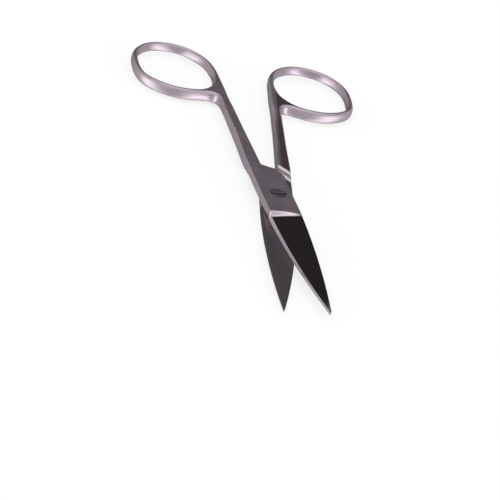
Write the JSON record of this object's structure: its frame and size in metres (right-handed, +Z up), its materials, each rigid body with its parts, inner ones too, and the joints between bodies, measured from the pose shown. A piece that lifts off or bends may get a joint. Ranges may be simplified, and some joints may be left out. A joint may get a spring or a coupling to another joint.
{
  "type": "scissors",
  "caption": "Small all-steel thread scissors: crossed forged halves with finger rings and hollow-ground blades, turning on a flush slotted screw.",
  "frame": {"origin": "on the pivot screw's axis, at the flat underside of the lower half", "axes": "+Z up along the screw towards its slotted head, -Y towards the tips, +Y towards the finger rings, -X towards the upper half's ring"},
  "size_m": [0.0676, 0.1364, 0.0048],
  "materials": {
    "upper_half_steel": "satin forging, brushed lap and polished hollow-ground blade",
    "lower_half_steel": "satin forging, brushed lap and polished hollow-ground blade",
    "screw_steel": "dull, lightly brushed"
  },
  "bodies": {
    "lower": {"lower_half": "lower_half_steel", "pivot_screw": "screw_steel"},
    "upper": {"upper_half": "upper_half_steel"}
  },
  "joints": [
    {"name": "pivot", "type": "hinge", "parent": "lower", "child": "upper", "pos_m": [0, 0, 0], "axis": [0, 0, 1], "range_deg": [-12.5, 125]}
  ]
}
